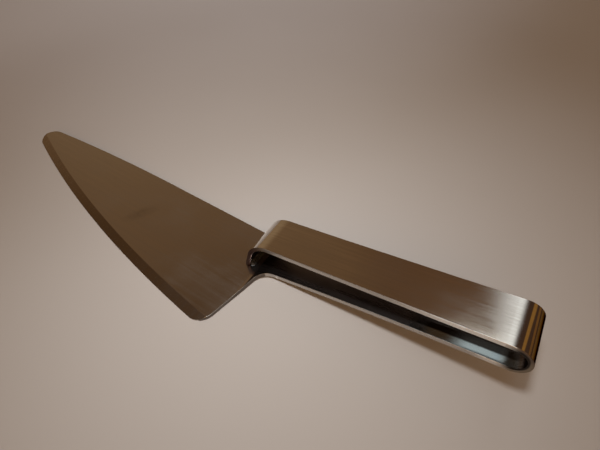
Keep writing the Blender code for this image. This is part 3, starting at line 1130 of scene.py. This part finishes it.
def makeFootBead():
    lean = handle["legLean"]
    behindLeg = sheet["thickness"] / cos(lean) - handle["footSetback"]
    corner = Vector((behindLeg, 0, sheet["thickness"]))
    corner -= Vector((footWeld["sunk"], 0, footWeld["sunk"]))
    length = neck["width"] - 2 * footWeld["inset"]
    shape = bmesh.new()
    leg = footWeld["leg"]
    start = Vector((leg, 0, 0))
    end = Vector((leg * sin(lean), 0, leg * cos(lean)))
    outline = [Vector((0, 0, 0))]
    for index in range(footWeld["facing"] + 1):
        share = index / footWeld["facing"]
        point = start.lerp(end, share)
        outline.append(point + point.normalized() * footWeld["hollow"] * sin(pi * share))
    start = corner - Vector((0, length / 2, 0))
    face = shape.faces.new([shape.verts.new(start + point) for point in outline])
    growAcross(shape, face, length, footWeld["steps"])
    wanderWaves, wander = footWeld["rippleWander"]
    lumpWaves, lumpRow, lumpHeight = footWeld["lumps"]
    for vert in shape.verts:
        along = vert.co.y + length / 2
        phase = along / footWeld["ripple"]
        phase += wander * noise.noise(Vector((along * wanderWaves, 0, 0)))
        dip = abs(sin(pi * phase)) ** footWeld["rippleShape"]
        lump = 1 + lumpHeight * noise.noise(Vector((along * lumpWaves, lumpRow, 0)))
        toEnd = min(min(along, length - along) / footWeld["roundEnd"], 1.0)
        rise = sqrt(max(0.0, 1 - (1 - toEnd) ** 2))
        ends = rise * (1 - footWeld["endHeight"]) + footWeld["endHeight"]
        out = vert.co - corner
        out.y = 0
        vert.co += out * ((1 - footWeld["rippleDepth"] * dip) * lump * ends - 1)
    settle(shape)
    return finishPiece("footBead", shape, [makeBeadMetal()], "foot_weld")


# painted shade: the bead's near-black colours stand in for the shade of the corner behind the leg
beadLook = {
    "bright": (0.085, 0.083, 0.082),
    "dull": (0.04, 0.037, 0.036),
    "roughness": (0.50, 0.66),
    "patches": (700.0, 3.0),
    "patchRange": (0.38, 0.62),
    "grain": (2600.0, 3.0),
    "depth": 0.00003,
    "strength": 0.7,
}


def makeBeadMetal():
    look = beadLook
    material, tree, inputs, place = newMaterial("shadedBead")
    patches = addNoise(tree, place, *look["patches"])[0]
    patches = addRange(tree, patches, *look["patchRange"])
    color = addMix(tree, patches, look["dull"], look["bright"])
    tree.links.new(color, inputs["Base Color"])
    tree.links.new(addRoughness(tree, patches, look["roughness"]), inputs["Roughness"])
    grain = addNoise(tree, place, *look["grain"])[0]
    addBump(tree, inputs, grain, look["depth"], look["strength"])
    return material


makeBladeSheet()
makeStrap()
makeNeckSeam()
makeFootBead()

# Table
table = {
    "color": (0.565, 0.505, 0.46),
    "shade": (0.55, 0.49, 0.445),
    "clouds": (6.0, 3.0),
    "cloudRange": (0.35, 0.65),
    "roughness": 0.62,
    "shine": 0.25,
    "size": 6.0,
    "drop": 0.00003,  # its top lies this far under the knife
}


def makeTable():
    material, tree, inputs, place = newMaterial("paleTable", metallic=0.0)
    clouds = addRange(tree, addNoise(tree, place, *table["clouds"])[0], *table["cloudRange"])
    tree.links.new(addMix(tree, clouds, table["shade"], table["color"]), inputs["Base Color"])
    inputs["Roughness"].default_value = table["roughness"]
    inputs["Specular IOR Level"].default_value = table["shine"]
    shape = bmesh.new()
    bmesh.ops.create_grid(shape, x_segments=1, y_segments=1, size=table["size"] / 2)
    bmesh.ops.translate(shape, vec=(0, 0, -table["drop"]), verts=shape.verts)
    mesh = bpy.data.meshes.new("table")
    shape.to_mesh(mesh)
    shape.free()
    mesh.materials.append(material)
    top = bpy.data.objects.new("table", mesh)
    bpy.context.scene.collection.objects.link(top)


# The room round the table: plain warm walls and ceiling, with a few lighter and darker panels.
# Each panel goes from one azimuth to another (from +Y towards +X) and between two heights. All are
# in degrees, and later panels cover earlier ones.
room = {
    "wall": (0.150, 0.084, 0.040),
    "panels": [
        # azimuths, heights, softness of both, colour
        ((-80, 75), (-30, 12), (9, 9), (0.24, 0.155, 0.095)),
        ((-66, -32), (-30, 32), (10, 14), (0.26, 0.168, 0.09)),
        ((-190, -94), (-30, 80), (9, 9), (0.062, 0.030, 0.011)),
        ((140, 210), (-30, 80), (22, 22), (0.24, 0.19, 0.15)),
        ((108, 192), (0, 44), (16, 14), (0.86, 0.49, 0.18)),
        ((-75, 60), (50, 76), (5, 5), (0.095, 0.050, 0.022)),
        ((-30, -8), (33, 68), (6, 6), (0.118, 0.060, 0.028)),
        ((-17.5, 2), (53.6, 72), (4, 0.5), (1.25, 1.22, 1.12)),
        ((-7.3, 14), (33, 68), (1.6, 2), (1.00, 1.01, 0.99)),
        ((5, 72), (-5, 64), (4, 3), (0.055, 0.028, 0.016)),
        ((31, 42.5), (27, 56), (1.6, 1.6), (0.25, 0.118, 0.027)),
        ((45, 54), (7, 18), (2, 2), (0.16, 0.07, 0.018)),
        ((74, 106), (30, 58), (5, 5), (0.80, 0.70, 0.60)),
        ((-200, 200), (76, 100), (4, 4), (0.58, 0.70, 0.78)),
    ],
    "strength": 1.0,
}


def makeRoom():
    world = bpy.data.worlds.new("room")
    world.use_nodes = True
    bpy.context.scene.world = world
    tree = world.node_tree
    background = tree.nodes["Background"]
    way = addNode(tree, "ShaderNodeTexCoord").outputs["Generated"]
    parts = addParts(tree, way)
    azimuth = addMath(tree, "ARCTAN2", parts[0], parts[1])
    height = addMath(tree, "ARCSINE", parts[2])
    color = room["wall"]
    for azimuths, heights, softness, panelColor in room["panels"]:
        start, end = map(radians, azimuths)
        low, high = map(radians, heights)
        soft, softHeight = map(radians, softness)
        away = addMath(tree, "SUBTRACT", azimuth, (start + end) / 2)
        away = addMath(tree, "ABSOLUTE", addMath(tree, "WRAP", away, pi, -pi))
        reach = (end - start) / 2
        mask = addFall(tree, away, reach - soft, reach + soft)
        band = addBand(tree, height, low, high, softHeight)
        color = addMix(tree, addMath(tree, "MULTIPLY", mask, band), color, panelColor)
    tree.links.new(color, background.inputs["Color"])
    background.inputs["Strength"].default_value = room["strength"]


# One lamp gives the pool of light round the knife, the other reaches the far part of the table
lamps = {
    "tableLamp": {
        "place": (0.045, -0.080, 0.34),
        "aim": (0.026, 0.026, 0.0),
        "size": 0.06,
        "spread": radians(62.1),
        "power": 0.0948,
        "color": (0.952, 1.005, 1.044),
    },
    "farLamp": {
        "place": (0.070, 0.178, 0.55),
        "aim": (-0.408, 0.394, 0.0),
        "size": 0.10,
        "spread": radians(84),
        "power": 0.398,
        "color": (0.872, 0.985, 1.144),
    },
}


def makeLamps():
    for name, lamp in lamps.items():
        data = bpy.data.lights.new(name, "AREA")
        data.shape = "DISK"
        data.size = lamp["size"]
        data.spread = lamp["spread"]
        data.energy = lamp["power"]
        data.color = lamp["color"]
        light = bpy.data.objects.new(name, data)
        light.location = lamp["place"]
        toTable = Vector(lamp["aim"]) - Vector(lamp["place"])
        light.rotation_euler = toTable.to_track_quat("-Z", "Y").to_euler()
        bpy.context.scene.collection.objects.link(light)


camera = {
    "place": (0.09831, -0.08019, 0.14041),
    "azimuth": radians(30.81),
    "height": radians(46.26),
    "lens": 25.8,
    "sensor": 36.0,
    "nearest": 0.01,
}


def makeCamera():
    data = bpy.data.cameras.new("camera")
    data.lens = camera["lens"]
    data.sensor_width = camera["sensor"]
    data.clip_start = camera["nearest"]
    view = bpy.data.objects.new("camera", data)
    view.location = camera["place"]
    view.rotation_euler = (pi / 2 - camera["height"], 0, camera["azimuth"])
    bpy.context.scene.collection.objects.link(view)
    bpy.context.scene.camera = view


makeTable()
makeRoom()
makeLamps()
makeCamera()
bpy.context.scene.view_settings.view_transform = "Standard"
print("table, room, lamps and camera in place")
